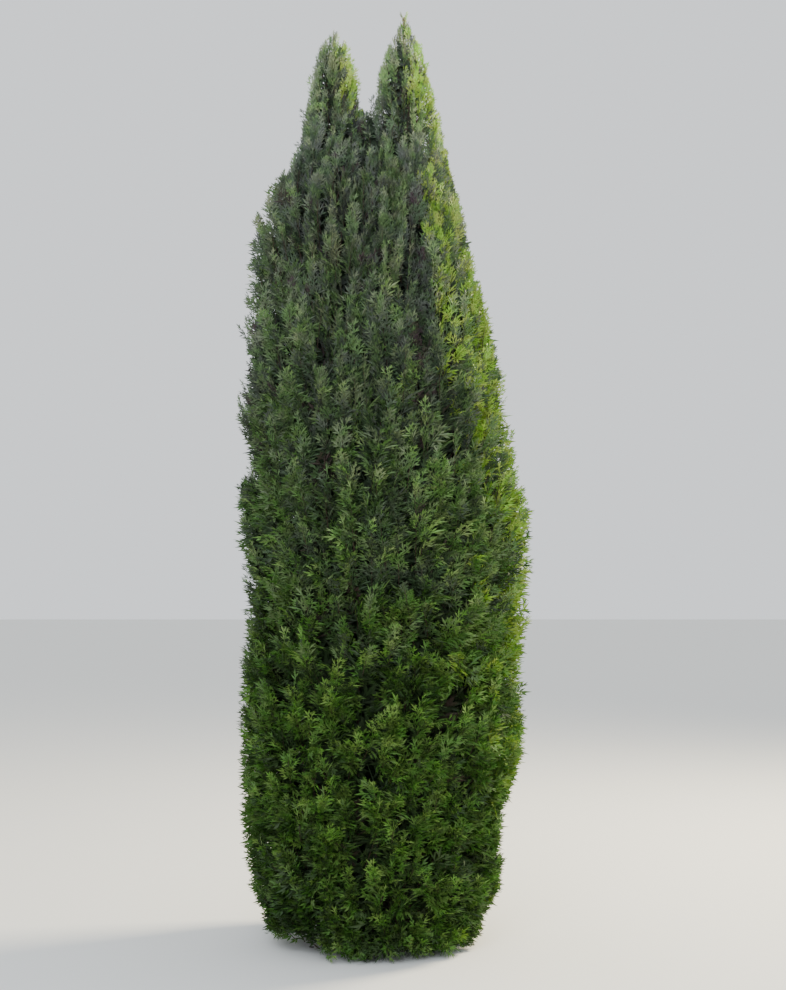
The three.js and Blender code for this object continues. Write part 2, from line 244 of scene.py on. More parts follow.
# Fibrous bark of an old conifer stem: dry and matt, grey-brown on the strips, redder in the furrows
def barkMaterial():
    material, tree, shader = newMaterial("fibrousBark", bark["roughness"])
    place = addNode(tree, "ShaderNodeTexCoord").outputs["Object"]
    stretch = addNode(tree, "ShaderNodeMapping", {"Vector": place, "Scale": bark["fibres"]})
    fibres = addNode(tree, "ShaderNodeTexNoise", {
        "Vector": stretch, "Scale": 1.0, "Detail": bark["fibreDetail"],
        "Roughness": bark["fibreRoughness"]})
    ramp = addNode(tree, "ShaderNodeValToRGB", {"Fac": fibres})
    for element, (position, colour) in zip(ramp.color_ramp.elements, bark["colours"]):
        element.position = position
        element.color = toLinear(colour)
    bump = addNode(tree, "ShaderNodeBump", {
        "Height": fibres, "Strength": bark["bump"], "Distance": bark["bumpDepth"]})
    tree.links.new(ramp.outputs["Color"], shader.inputs["Base Color"])
    tree.links.new(bump.outputs["Normal"], shader.inputs["Normal"])
    return material


barkLook = barkMaterial()
for limbName, limb in limbs.items():
    piece = newObject(limbName + "_bark", barkMesh(limbName + "_bark", limb))
    piece.data.materials.append(barkLook)
    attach(piece, "root")
    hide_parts(limbName)
print("limbs barked")

# Crown: its outline and the spaces of the solids, in metres
crown = {
    "outline": [  # height, reach to the left, reach to the right
        (0, 0.545, 0.49), (0.14, 0.56, 0.53), (0.26, 0.612, 0.597), (0.6, 0.675, 0.615),
        (0.93, 0.67, 0.722), (1.3, 0.685, 0.712), (1.5, 0.655, 0.742), (1.75, 0.67, 0.765),
        (2.1, 0.712, 0.768), (2.2, 0.7, 0.748), (2.28, 0.678, 0.7), (2.36, 0.658, 0.69),
        (2.48, 0.722, 0.68), (2.75, 0.697, 0.64), (2.95, 0.685, 0.592), (3.15, 0.665, 0.548),
        (3.3, 0.68, 0.485), (3.45, 0.64, 0.465), (3.6, 0.612, 0.432), (3.72, 0.555, 0.4),
        (3.8, 0.49, 0.38), (3.9, 0.43, 0.35),
    ],
    "front": {"below": 0.97, "above": 0.6, "from": 2.4, "to": 3.9, "power": 1.3},
    "rise": 0.36,
    "columns": [
        ("right", -37.5, -0.11), ("back_right", 22.5, 0.095), ("back_left", 82.5, -0.06),
        ("left", 142.5, 0.12), ("front_left", 202.5, -0.105), ("front_right", 262.5, 0.08),
    ],
    "storeys": [
        ("skirt", 0, 0.72), ("lower", 0.72, 1.5), ("middle", 1.5, 2.3), ("upper", 2.3, 3.08),
        ("shoulder", 3.08, 3.8),
    ],
    "crestMiddle": 0.08, "crestSwing": 0.055,
    "wanderAngle": 5, "wanderPitch": 0.43,
    "tops": [  # a little blunter at their tips than the solids
        {"name": "top_right", "x": 0.13, "height": 4.69, "base": 0.262, "power": 0.64, "blunt": 0.45,
         "sides": ("right", "back", "front"), "limb": "trunk"},
        {"name": "top_left", "x": -0.23, "height": 4.58, "base": 0.202, "power": 0.42, "blunt": 0.8,
         "sides": ("left", "front", "back"), "limb": "leader_left"},
    ],
    "topBase": 3.7, "topTip": 0.02, "topFoot": 3.48, "topOver": 1.3, "tipSwell": 2.75,
    "depths": (0.42, 0.85), "topDepths": (0.2, 0.79),  # where a mass's growth starts and ends, as shares
    "lowest": 0.004, "slopeStep": 0.08,
    "domeHeight": 0.3,  # the crown closes between the tops this far above its crest
    "crownTo": 4.2, "topsFrom": 3.5, "tipInset": 0.012, "tipFade": 0.03,
    "limbPlaces": 61,  # where growth can start on each limb
}


def crownReach(theta, height):
    heights, lefts, rights = zip(*crown["outline"])
    left, right = np.interp(height, heights, lefts), np.interp(height, heights, rights)
    side = (left + right) / 2 + (right - left) / 2 * math.cos(theta)
    front = crown["front"]
    climb = clamped((height - front["from"]) / (front["to"] - front["from"]))
    share = mixed(front["below"], front["above"], climb ** front["power"])
    return side * (1 - (1 - share) * math.sin(theta) ** 2)


def topReach(top, height):
    # the last hand's breadth is thinner than the cone below it
    left = clamped((top["height"] - height) / (top["height"] - crown["topBase"]), 0, crown["topOver"])
    thin = min(1, top["blunt"] + crown["tipSwell"] * left)
    return max(top["base"] * left ** top["power"] * thin, crown["topTip"])


def columnEdge(i, height):
    count = len(crown["columns"])
    start = crown["columns"][i % count][1]
    swing = crown["wanderAngle"] * math.sin(height / crown["wanderPitch"] + start)
    return math.radians(start + 360 * (i // count) + swing)


def crestLine(theta):
    return crown["storeys"][-1][2] + crown["crestMiddle"] - crown["crestSwing"] * math.cos(theta)


def crownSpaces():
    spaces = []
    for storey, bottom, top in crown["storeys"]:
        for i, (side, _, shift) in enumerate(crown["columns"]):
            foot = -crown["rise"] if bottom == 0 else bottom + shift
            spaces.append({
                "name": f"{storey}_{side}", "axis": 0, "rise": crown["rise"], "reach": crownReach,
                "edges": lambda height, i=i: (columnEdge(i, height), columnEdge(i + 1, height)),
                "bottom": lambda theta, foot=foot: foot,
                "top": crestLine if storey == "shoulder" else (lambda theta, t=top + shift: t),
                "depths": crown["depths"],
            })
    for top in crown["tops"]:
        for i, side in enumerate(top["sides"]):
            middle = (0 if top["x"] > 0 else math.pi) + 2 * math.pi / 3 * i
            spaces.append({
                "name": f"{top['name']}_{side}", "axis": top["x"], "rise": 0,
                "reach": lambda theta, height, top=top: topReach(top, height),
                "edges": lambda height, m=middle: (m - math.pi / 3, m + math.pi / 3),
                "bottom": lambda theta: crown["topFoot"], "top": lambda theta, top=top: top["height"],
                "depths": crown["topDepths"],
            })
    return spaces


def pointInSpace(space, across, level, depth):
    fall = space["rise"] * (1 - depth)
    height, theta = space["bottom"](0), 0
    for _ in range(3):
        start, end = space["edges"](height)
        theta = (start + end) / 2 + across * (end - start) / 2
        low = max(space["bottom"](theta), crown["lowest"] + fall)
        height = low + (level + 1) / 2 * (space["top"](theta) - low) - fall
    radius = space["reach"](theta, height) * depth
    return Vector((space["axis"] + radius * math.cos(theta), radius * math.sin(theta), height))


def surfaceSlope(space, point):
    theta = math.atan2(point.y, point.x - space["axis"])
    step = crown["slopeStep"]
    wider = space["reach"](theta, point.z + step) - space["reach"](theta, point.z - step)
    return math.atan2(2 * step, wider)


def outness(point):
    # how far out a point lies: 1 at the surface of the lower crown or of either top
    best = math.inf
    if point.z < crown["crownTo"]:
        theta = math.atan2(point.y, point.x)
        over = max(0, (point.z - crestLine(theta)) / crown["domeHeight"])
        best = math.hypot(point.x, point.y) / crownReach(theta, point.z) + over
    for top in crown["tops"]:
        if point.z > crown["topsFrom"]:
            flat = math.hypot(point.x - top["x"], point.y)
            over = max(0, (point.z - top["height"] + crown["tipInset"]) / crown["tipFade"])
            best = min(best, flat / topReach(top, point.z) + over)
    return best


limbLines = [place for limb in limbs.values()
             for place in evenPoints(limb["path"], crown["limbPlaces"])[0]]


def nearestLimb(point):
    return min(limbLines, key=lambda place: (place - point).length_squared)


# Fans: flat sprays of branchlets in two ranks, one metre long before they are sized.
# A branchlet is three blunt fingers: start along it, turn to the side, length, half width.
branchlet = {
    "fingers": [(0, 0, 1.0, 0.062), (0.16, 38, 0.52, 0.05), (0.34, -36, 0.5, 0.05)],
    "widest": 0.58, "ridge": 0.035,
}
fanInputs = ("Branchlets", "Branchlet length", "Wide angle", "Narrow angle", "Curl", "Cup", "Seed", "broad")
fanKinds = {kind: dict(zip(fanInputs, row)) for kind, row in {  # angles in radians; broad widens the fingers
    "slender": (7, 0.42, 0.5, 0.2, 0.12, 0.35, 3, 1.1),
    "upright": (7, 0.47, 0.75, 0.3, 0.2, -0.4, 8, 1.2),
    "open": (7, 0.5, 0.95, 0.4, 0.32, 0.6, 13, 1.5),
    "curled": (7, 0.52, 1.1, 0.5, 0.56, 0.8, 21, 1.65),
    "tuft": (6, 0.48, 0.6, 0.25, 0.12, 0.5, 34, 1.2),
    "inner": (6, 0.62, 1.15, 0.5, 0.15, 0.3, 55, 1.7),
}.items()}
kindNames = list(fanKinds)
fanBuild = {
    "first": 0.08, "span": 0.8,  # along the fan: its first branchlet, and the stretch they fill
    "swell": 1.95, "swellFrom": 0.8, "wideAt": 0.72, "wideLift": 0.5, "ribHalf": 0.009,
    "shrink": 0.3,  # how much of its curl a fan loses in length
    # what differs between branchlets: lowest, highest, and what is added to the seed
    "chances": {"swing": (-0.16, 0.16, 0), "tilt": (-0.35, 0.35, 7), "roll": (-0.5, 0.5, 11),
                "scale": (0.82, 1.15, 5)},
}


def fanPoints(place, aim, across, normal, size, kind):
    # the fan's tip and its two widest points
    shape = fanKinds[kind]
    curl, cup = shape["Curl"], shape["Cup"]
    wide = shape["Branchlet length"] * math.sin((shape["Wide angle"] + shape["Narrow angle"]) / 2)
    yield place + (aim * (1 - fanBuild["shrink"] * curl) + normal * curl) * size
    for side in (-wide, wide):
        lift = normal * (fanBuild["wideLift"] * curl + cup * wide * wide)
        yield place + (aim * fanBuild["wideAt"] + across * side + lift) * size


# Growth: stem, forks, plumes along each fork, and flat fans along each plume.
# Fans begin at start along their twig, and hollow is how much of a hollow's depth they follow.
rules = {
    "low": {"forks": 6, "plumes": 7, "fans": 12, "length": 0.27, "fan": 0.127, "stand": 30, "spread": 0.45,
            "stray": 0.025, "start": 0.0, "hollow": 0.8},
    "high": {"forks": 6, "plumes": 9, "fans": 12, "length": 0.32, "fan": 0.118, "stand": 18, "spread": 0.16,
             "stray": 0.025, "start": 0.0, "hollow": 0.8},
    "top": {
        "forks": 6, "plumes": 9, "fans": 10, "length": 0.26, "fan": 0.105, "stray": 0.17, "start": 0.3,
        "hollow": 0.25, "coreHeights": (3.7, 3.95, 4.2, 4.42), "coreOut": 0.03, "spread": 0.5,
        "tipDepth": 0.9, "tipSpread": 0.05, "bend": (0.75, 0.75, 0.4),
        "lowest": 3.74, "outside": 0.6, "freeFrom": 4.0,  # no shoot ends lower or deeper than the crest
        "gapDepth": 1.02, "gapBelow": 4.08,  # low in the gap between the tops the shoots reach further
    },
    "hem": {
        "shoots": 9, "fans": 14, "fan": 0.13, "stray": 0.025, "start": 0.2, "hollow": 0.8, "spread": 0.4,
        "rootDepth": 0.5, "rootLow": 0.07, "rootRange": 0.05, "bend": 0.6, "bendRise": 0.03,
        "tipDepth": 0.93, "tipSpread": 0.04, "tipAside": 0.1, "tipLow": 0.03, "tipRange": 0.06,
    },
}
massForm = {
    "heart": -0.3, "seatBelow": 0.1, "seatStep": 0.055, "seatLowest": 0.17, "seatSag": 0.015,
    "core": (-0.5, 0.5), "coreLevels": (-0.9, 0, 0.9), "coreDepth": 0.4,
    "forkSpread": 0.04, "forkLevels": (-0.95, -0.45, 0, 0.45, 0.9), "forkClose": 0.92, "forkInset": 0.17,
    "forkBend": 0.6, "rootFirst": 0.25,
    "rootInset": 0.1, "rootSpread": 0.04, "rootAside": 0.14, "rootLevel": 0.35, "rootEnd": 0.97,
    "rootLimit": 0.92,
}
plumeForm = {
    "standSpread": 9, "shortest": 0.8, "longer": 0.4, "middle": 0.6, "inset": 0.015, "bulge": 0.5,
    "cut": 0.9, "least": 0.08, "bow": 0.05, "rise": 0.06,
}
# Each pair is for the flat sprays high up and for the curled ones low down
fanForm = {
    "planeLeast": (10, 20), "planeMost": (55, 90),  # degrees between a plume's flat face and the radius
    "planeTilt": (0.12, 0.6), "placeSpread": 0.3,
    "turn": (0.32, 0.66), "turnSpread": 0.18, "turnLoss": 0.6, "straight": 0.4,
    "rise": 0.12, "riseSpread": (0.08, 0.3), "sideSpread": (0.12, 0.42), "out": 0.04, "outSpread": 0.1,
    "faceAside": (0.3, 0.7), "faceUp": (0.2, 0.6), "faceOut": 0.3,
    "size": 1.15, "sizeLoss": 0.3, "sizeSpread": 0.25, "least": 0.35, "middle": 0.6,
    "strayShare": 0.2, "over": 0.03, "overSpread": 0.03, "overMost": 1.01,
    "tuftFrom": 0.88, "curled": (0, 0.62), "open": (0.12, 0.47), "upright": (0.5, 0.9),
}
fitting = {"tries": 8, "shrink": 0.88, "inward": -0.09, "firstRise": 0.05, "rise": 0.14, "turnAfter": 3}
innerForm = {
    "placeSpread": 0.3, "inset": 0.6, "aside": 0.9, "out": 0.1, "outSpread": 0.2,
    "faceAside": 0.4, "faceUp": 0.3, "sizeSpread": 0.2, "least": 0.45, "limit": 0.82, "deadShare": 0.06,
    "fork": (0.26, 12), "top": (0.15, 30), "core": (0.42, 5),  # size and number along each
}
leaderForm = {
    "size": 0.085, "sizeStart": 1.1, "sizeLoss": 0.35, "least": 0.02, "length": 0.6, "count": 70,
    "steps": 199, "crowding": 1.3, "turn": 2.4, "lean": 0.5, "leanBlunt": 0.55, "leanLoss": 0.67,
    "limit": 1.02, "tipFrom": 0.9, "tipLimit": 1.7, "sunlitFrom": 0.2, "freshAndLitShare": 0.6,
}
saddleForm = {
    "size": 0.2, "least": 0.06, "limit": 0.97, "count": 90, "x": (-0.2, 0.12), "y": 0.1, "z": (3.66, 3.96),
    "lean": 0.3, "faceAside": 0.7, "faceUp": 0.2, "deadShare": 0.15,
}
growth = {
    "massSeed": 4001, "nextMass": 97, "saddleSeed": 55, "leaderSeed": 77,  # the masses' seeds are the solids'
    "stagger": 0.5,  # every second fork's plumes stand half a step higher
    "curlFrom": 3.3, "curlFull": 1.4,  # the fans curl and turn more, going down between these heights
    "seenFrom": 0.66, "twigLimit": 0.97,  # no fan on a plume is made deeper, and no twig goes further out
    "between": -0.05, "betweenHalf": 0.13,  # the gap between the tops
    "sun": (0.88, 0.38),  # the side that is lit, as a direction on the ground
    # heights, and how sunny a spray there must be to be painted in sunlight
    "sunFrom": ((0.6, 1.6, 2.2, 2.5, 2.9, 3.2, 3.9, 4.3), (1.05, 0.8, 0.46, 0.26, 0.16, 0.4, 0.55, 0.28)),
}
# A spray's shade, painted into its colour, runs from 0 in the hollows to 1 on the tips; the pair is for high
# up and low down
shading = {
    "middle": 0.5, "along": 0.38, "plumeSpread": (0.09, 0.14), "fanSpread": 0.3, "sunSide": 0.1,
    "foot": 0.13, "footTop": 0.7, "footHeight": 0.6, "plumeFurrow": 0.5, "fanFurrow": 0.9,
    "gapDark": 0.34, "gapLow": 3.9, "gapHigh": 4.2,  # painted shade between the tops
    # painted light on the tops
    "topLight": 0.16, "topFrom": 4.05, "topFade": 0.1,
    "sunSpread": 0.34, "sunFurrow": 1.5, "sunBulge": 0.6, "sunMiddle": 0.4, "storeySpread": 0.3,
    "deadShare": 0.6, "deadBelow": 0.3, "deepInside": 0.78, "sunlitFrom": 0.46,
    "tones": [(-0.08, "inner"), (0.3, "deep"), (0.7, "moss")],  # up to each shade, from painted deep shade to half shade; the lightest tone, fresh tips and lit sprays, above them
}
hollows = {
    "lowDepth": 0.15, "highDepth": 0.07, "deepBelow": 1.5, "depthFade": 0.8, "sideShare": 0.65,
    "sidePower": 4, "lowShade": 0.36, "highShade": 0.24, "middle": 0.42,
    "lowSize": 0.17, "highSize": 0.12, "lowTall": 1.2, "highTall": 3.4, "sizeFrom": 1.6, "sizeFade": 1.0,
    "grain": 0.95, "broadGrain": 0.35, "broadSize": 0.4,
}
airy = {"low": 2.95, "high": 3.95, "from": 148, "outside": 0.83, "share": 0.38, "reach": 0.045}
ground = {
    "least": 0.006, "twig": 0.004, "tip": 0.002,
    # the skirt stands off the ground a little, left of the middle
    "gapMiddle": -0.36, "gapHalf": 0.1, "gapBack": 0.15, "gapHeight": 0.12, "gapPower": 4, "beyondGap": 0.045,
}
# Dark clefts in the crown: direction in degrees, its change per metre going up, lowest and highest point,
# depth, degrees from the middle to the edge, and painted shade. Those without depth are only patches of
# painted shade, or of painted light where the shade is less than nothing.
furrows = [
    (-61, 4, 2.5, 3.8, 0.12, 8, 0.4), (-57, -40, 2.38, 2.76, 0.12, 7, 0.5),
    (-76, 0, 2.78, 2.98, 0.1, 12, 0.45), (-95, 0, 2.9, 3.8, 0.09, 7, 0.3),
    (-125, 0, 3.5, 4.22, 0.05, 48, 0.12), (-140, 0, 3.05, 3.42, 0.1, 10, 0.45),
    (-83, 0, 1.67, 1.81, 0.16, 27, 0.6), (-81, 0, 2.02, 2.16, 0.12, 7, 0.45),
    (-124, 0, 1.78, 1.93, 0.12, 8, 0.5), (-53, 3, 0.74, 1.08, 0.1, 7, 0.4),
    (-118, 0, 1.98, 2.5, 0.08, 8, 0.3), (-100, 0, 0.5, 0.62, 0.1, 14, 0.4),
    (-172, 0, 2.42, 3.0, 0, 16, 0.3), (180, 0, 2.14, 2.34, 0.08, 26, 0.3), (38, 0, 1.9, 3.5, 0.1, 9, 0.4),
    (96, 0, 2.8, 4.0, 0.1, 9, 0.4), (80, 0, 1.55, 1.68, 0.1, 24, 0.5), (152, 0, 1.5, 3.0, 0.1, 9, 0.4),
    (-165, 0, 2.2, 3.3, 0.08, 9, 0.3), (10, 0, 1.2, 1.33, 0.1, 22, 0.5), (-133, 0, 2.4, 2.82, 0, 13, 0.2),
    (-108, 0, 2.28, 2.68, 0, 9, 0.16), (-66, 0, 2.25, 2.6, 0, 10, 0.16),
    (-102, 0, 1.84, 2.12, 0, 8, 0.14), (-112, 0, 2.9, 3.3, 0, 12, 0.12),
    (-52, 0, 1.05, 1.55, 0, 22, -0.2), (-93, 0, 0.85, 1.35, 0, 8, -0.16),
    (-118, 0, 1.36, 1.52, 0, 10, -0.14), (-128, 0, 3.62, 3.95, 0, 16, -0.1),
    (-50, 0, 3.18, 3.44, 0, 10, 0.3), (-138, 0, 3.2, 3.6, 0, 12, 0.12), (-60, 0, 3.68, 4.12, 0, 15, 0.2),
    (-54, 0, 3.26, 3.52, 0, 8, 0.2),
]
furrowForm = {"wander": 3, "waves": 3.1, "ramp": 0.3, "power": 0.6, "darkest": 0.6}
# Bulges: direction in degrees, lowest and highest point, how much further out, degrees to the edge
bulges = [(180, 2.66, 3.12, 0.05, 30), (180, 2.25, 2.45, 0.06, 30)]
storeyGroups = {  # sprays made together; climb runs from the colour at the foot to the colour higher up, and light is painted light that brightens or darkens the storey's colours
    "low": {"masses": ("skirt", "lower"), "upTo": 1.5, "climb": 0.0, "light": 1.0},
    "middle": {"masses": ("middle",), "upTo": 2.3, "climb": 0.35, "light": 1.08},
    "upper": {"masses": ("upper",), "upTo": 3.08, "climb": 0.7, "light": 1.03},
    "shoulder": {"masses": ("shoulder",), "upTo": 4.0, "climb": 1.0, "light": 0.91},
    "top": {"masses": ("top",), "upTo": 9.0, "climb": 0.95, "light": 1.5},
}
twigRadii = {  # at the foot and at the tip
    "stem": (0.013, 0.008), "lowFork": (0.006, 0.004), "fork": (0.007, 0.003), "plume": (0.003, 0.001),
    "shoot": (0.0028, 0.001),
}
twigLines = {"points": [], "edges": [], "radii": []}
seats = []  # one dictionary for each fan


def groundAt(point):
    # the lowest that a spray may hang
    if point.y > ground["gapBack"]:
        return ground["least"]
    aside = abs(point.x - ground["gapMiddle"]) / ground["gapHalf"]
    beyond = ground["beyondGap"] if point.x < ground["gapMiddle"] else ground["least"]
    return max(beyond, ground["gapHeight"] * (1 - aside ** ground["gapPower"]))


def addTwig(places, kind):
    # the twig ends where it would leave the crown
    first = len(twigLines["points"])
    for k, place in enumerate(places):
        if k > 1 and (outness(place) > growth["twigLimit"] or place.z < groundAt(place) + ground["twig"]):
            break
        twigLines["points"].append(place)
        twigLines["radii"].append(mixed(*twigRadii[kind], k / (len(places) - 1)))
        if k:
            twigLines["edges"].append((first + k - 1, first + k))


def awayFrom(angle, point):
    # degrees between a direction and the point's
    return abs((math.degrees(math.atan2(point.y, point.x)) - angle + 180) % 360 - 180)


def furrowAt(point):
    # the depth of the furrow at a point, and its painted shade
    depth, dark = 0, 0
    for angle, lean, low, high, deep, half, shade in furrows:
        if low < point.z < high:
            wander = furrowForm["wander"] * math.sin(point.z * furrowForm["waves"] + angle)
            away = awayFrom(angle + lean * (point.z - low) + wander, point)
            ramp = min(furrowForm["ramp"], (high - low) / 2)
            share = min(1, (point.z - low) / ramp, (high - point.z) / ramp)
            share *= max(0, 1 - away / half) ** furrowForm["power"]
            depth, dark = max(depth, deep * share), dark + shade * share
    return depth, min(dark, furrowForm["darkest"])


def bulgeAt(point):
    # how much further out than elsewhere the sprays stand
    near = [reach for angle, low, high, reach, half in bulges
            if low < point.z < high and awayFrom(angle, point) < half]
    return max(near, default=0)


def hollowAt(point):
    # 0 on the bulges of the crown, 1 in the hollows between them, which are tall and narrow higher up
    climb = clamped((point.z - hollows["sizeFrom"]) / hollows["sizeFade"])
    grain = 1 / mixed(hollows["lowSize"], hollows["highSize"], climb)
    tall = mixed(hollows["lowTall"], hollows["highTall"], climb)
    spot = Vector((point.x * grain, point.y * grain, point.z * grain / tall))
    broad = hollows["broadGrain"] * noise.noise(spot * hollows["broadSize"])
    return clamped(hollows["middle"] + hollows["grain"] * noise.noise(spot) + broad)


def surfaceLimit(point, share):
    # the outline already has the bulges of the left and right sides, so the hollows are shallower there
    climb = clamped((point.z - hollows["deepBelow"]) / hollows["depthFade"])
    depth = mixed(hollows["lowDepth"], hollows["highDepth"], climb)
    sideways = abs(point.x) / math.hypot(point.x, point.y)
    depth *= 1 - hollows["sideShare"] * sideways ** hollows["sidePower"]
    return 1 - share * (depth * hollowAt(point) + furrowAt(point)[0])


def isThin(point):
    # the outer sprays stand more thinly high on the left
    theta = abs(math.degrees(math.atan2(point.y, point.x)))
    return airy["low"] < point.z < airy["high"] and theta > airy["from"] and outness(point) > airy["outside"]


def isBetween(point):
    return abs(point.x - growth["between"]) < growth["betweenHalf"]


def sunOn(outward):
    return outward.x * growth["sun"][0] + outward.y * growth["sun"][1]


def storeyAt(height):
    return next(group for group, place in storeyGroups.items() if height < place["upTo"])


def addFan(place, aim, facing, size, kind, limit, least):
    # the fan shrinks, rises and turns its curl inwards until it is inside the crown
    for attempt in range(fitting["tries"]):
        across = aim.cross(facing).normalized()
        normal = across.cross(aim).normalized()
        points = fanPoints(place, aim, across, normal, size, kind)
        if all(point.z > groundAt(point) and outness(point) < limit for point in points):
            seats.append({"place": place, "frame": (across, aim, normal), "size": size, "kind": kind})
            return seats[-1]
        size *= fitting["shrink"]
        inward = outwardOf(place) * fitting["inward"]
        aim = (aim + upward * fitting["rise" if attempt else "firstRise"] + inward).normalized()
        if attempt == fitting["turnAfter"]:
            facing = -facing
        if size < least:
            break
    return None


def addInner(place, aim, facing, size, least, form, storey, dice):
    # a spray in painted deep shade, and now and then a dead one
    fan = addFan(place, aim, facing, size, "inner", form["limit"], least)
    if fan:
        fan["tone"] = "dead" if next(dice) < form["deadShare"] else "inner"
        fan["storey"] = storey


def pickKind(along, form, dice):
    if along > form["tuftFrom"]:
        return "tuft"
    if next(dice) < form["curled"]:
        return "curled"
    draw = next(dice)
    return next((kind for kind in ("open", "upright") if draw < form[kind]), "slender")


def plumeShade(line, sun, curl, dice):
    # painted shade: darker in the hollows and furrows, on the side away from the sun and near the ground
    hollowShade = mixed(hollows["highShade"], hollows["lowShade"], curl)
    shade = jitter(dice, mixed(*shading["plumeSpread"], curl)) - hollowShade * hollowAt(line[2])
    shade -= (hollows["lowShade"] - hollowShade) * hollows["middle"]
    shade += shading["sunSide"] * sun - shading["plumeFurrow"] * furrowAt(line[1])[1]
    return shade - shading["foot"] * clamped((shading["footTop"] - line[1].z) / shading["footHeight"])


def colourFan(fan, middle, shade, sun, dice):
    # the tone and the storey of a fan on a plume: its tone is painted shade and light, and a dead, browned
    # spray comes more often where the painted shade is darkest
    place = fan["place"]
    depth = outness(place + fan["frame"][1] * fan["size"]) - furrowAt(place)[0]
    dark = furrowAt(middle)[1]
    # painted shade between the tops
    if isBetween(place) and shading["gapLow"] < place.z < shading["gapHigh"]:
        dark = shading["gapDark"]
    # painted light on the tops
    dark -= shading["topLight"] * clamped((place.z - shading["topFrom"]) / shading["topFade"])
    shade += jitter(dice, shading["fanSpread"]) - shading["fanFurrow"] * dark
    old = next(dice) < shading["deadShare"] * dark
    sunny = sun + jitter(dice, shading["sunSpread"]) - shading["sunFurrow"] * dark
    sunny += shading["sunBulge"] * (shading["sunMiddle"] - hollowAt(place))
    if old and shade < shading["deadBelow"]:
        fan["tone"] = "dead"
    # painted shade on sprays deep inside the crown
    elif depth < shading["deepInside"]:
        fan["tone"] = "deep"
    # painted sunlight on sprays that face the sun
    elif sunny > np.interp(place.z, *growth["sunFrom"]) and shade > shading["sunlitFrom"]:
        fan["tone"] = "gold"
    else:
        fan["tone"] = next((tone for end, tone in shading["tones"] if shade < end), "fresh")
    fan["storey"] = storeyAt(place.z + jitter(dice, shading["storeySpread"]))


def growFans(rule, line, outward, dice):
    # a plume is flat: its fans lie near one upright plane, by turns on either side of its twig
    sideways = upward.cross(outward)
    curl = clamped((growth["curlFrom"] - line[0].z) / (growth["curlFrom"] - growth["curlFull"]))
    form = {name: mixed(*value, curl) if isinstance(value, tuple) else value
            for name, value in fanForm.items()}
    sun = sunOn(outward)
    baseShade = shading["middle"] + plumeShade(line, sun, curl, dice)
    turned = math.radians(mixed(form["planeLeast"], form["planeMost"], next(dice)))
    turned *= 1 if next(dice) < 0.5 else -1
    plane = outward * abs(math.sin(turned)) + sideways * math.copysign(math.cos(turned), turned)
    plane = (plane + upward * jitter(dice, form["planeTilt"])).normalized()
    for k in range(rule["fans"]):
        along = (k + 0.5 + jitter(dice, form["placeSpread"])) / rule["fans"]
        along = rule["start"] + (1 - rule["start"]) * along
        near, far = (line[0], line[1]) if along < 0.5 else (line[1], line[2])
        place = mixed(near, far, along * 2 % 1)
        heading = (line[1] - line[0] if along < form["straight"] else line[2] - line[1]).normalized()
        turn = (1 if k % 2 else -1) * (form["turn"] + jitter(dice, form["turnSpread"]))
        turn *= 1 - form["turnLoss"] * along
        aim = heading * math.cos(turn) + heading.cross(plane) * math.sin(turn)
        lift = upward * (form["rise"] + jitter(dice, form["riseSpread"]))
        aim += lift + plane * jitter(dice, form["sideSpread"])
        aim = (aim + outward * (form["out"] + jitter(dice, form["outSpread"]))).normalized()
        facing = plane + sideways * jitter(dice, form["faceAside"]) + upward * jitter(dice, form["faceUp"])
        facing += outward * jitter(dice, form["faceOut"])
        size = rule["fan"] * (form["size"] - form["sizeLoss"] * along + jitter(dice, form["sizeSpread"]))
        stray = rule["stray"] if next(dice) < form["strayShare"] else 0
        middle = place + aim * size * form["middle"]
        limit = min(surfaceLimit(place, rule["hollow"]), 1 - rule["hollow"] * furrowAt(middle)[0])
        limit = min(limit + form["over"] + jitter(dice, form["overSpread"]), form["overMost"]) + stray
        kind = pickKind(along, form, dice)
        if isThin(middle):
            gone = next(dice) < airy["share"]
            limit += airy["reach"]
        else:
            gone = outness(middle) < growth["seenFrom"]
        fan = None if gone else addFan(place, aim, facing, size, kind, limit, rule["fan"] * form["least"])
        if fan:
            colourFan(fan, middle, baseShade + shading["along"] * along, sun, dice)


def growInner(line, outward, where, dice):
    # broad shaded sprays inside the crown, along a fork or a leader
    sideways = upward.cross(outward)
    form = innerForm
    size, count = form[where]
    for k in range(count):
        share = (k + 0.5 + jitter(dice, form["placeSpread"])) / count * (len(line) - 1)
        i = min(int(share), len(line) - 2)
        place = mixed(line[i], line[i + 1], share - i) - outward * (form["inset"] * size * (k % 2))
        aim = upward + sideways * jitter(dice, form["aside"])
        aim = (aim + outward * (form["out"] + jitter(dice, form["outSpread"]))).normalized()
        facing = outward + sideways * jitter(dice, form["faceAside"]) + upward * jitter(dice, form["faceUp"])
        grown = size * (1 + jitter(dice, form["sizeSpread"]))
        addInner(place, aim, facing, grown, size * form["least"], form, storeyAt(place.z), dice)


